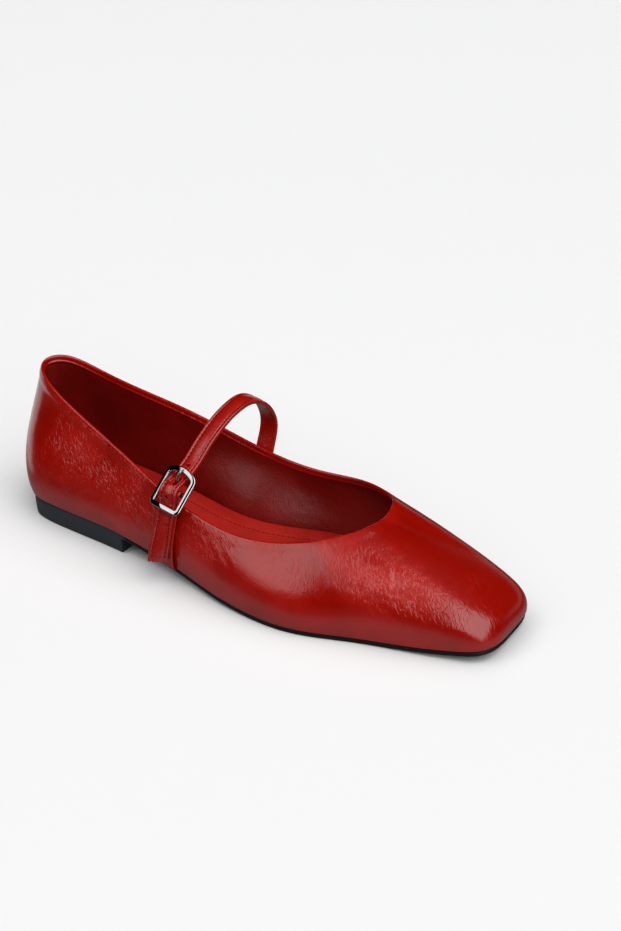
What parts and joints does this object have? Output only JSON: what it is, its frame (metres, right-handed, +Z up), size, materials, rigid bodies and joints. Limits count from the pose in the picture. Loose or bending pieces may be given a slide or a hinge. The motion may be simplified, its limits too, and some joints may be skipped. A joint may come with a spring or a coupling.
{
  "type": "ballet flat",
  "caption": "Low leather ballet flat for the right foot, with a squared toe, a low block heel and a buckled instep strap.",
  "frame": {"origin": "middle of the heel's ground face, on the shoe's length axis, at floor height", "axes": "+X along the shoe to the toe, +Y to the inner side of the foot, +Z up"},
  "size_m": [0.2521, 0.0854, 0.0671],
  "materials": {
    "upper_leather": "waxed, glossy, finely crinkled red leather",
    "insole_leather": "smooth red lining leather",
    "sole_rubber": "matt black rubber",
    "heel_rubber": "satin black rubber",
    "strap_leather": "waxed, glossy red leather with stitched edges",
    "buckle_metal": "polished"
  },
  "bodies": {
    "root": {"upper": "upper_leather", "insole": "insole_leather", "outsole": "sole_rubber", "heel": "heel_rubber", "strap": "strap_leather", "buckle_strap": "strap_leather", "buckle_frame": "buckle_metal", "buckle_prong": "buckle_metal"}
  },
  "joints": []
}
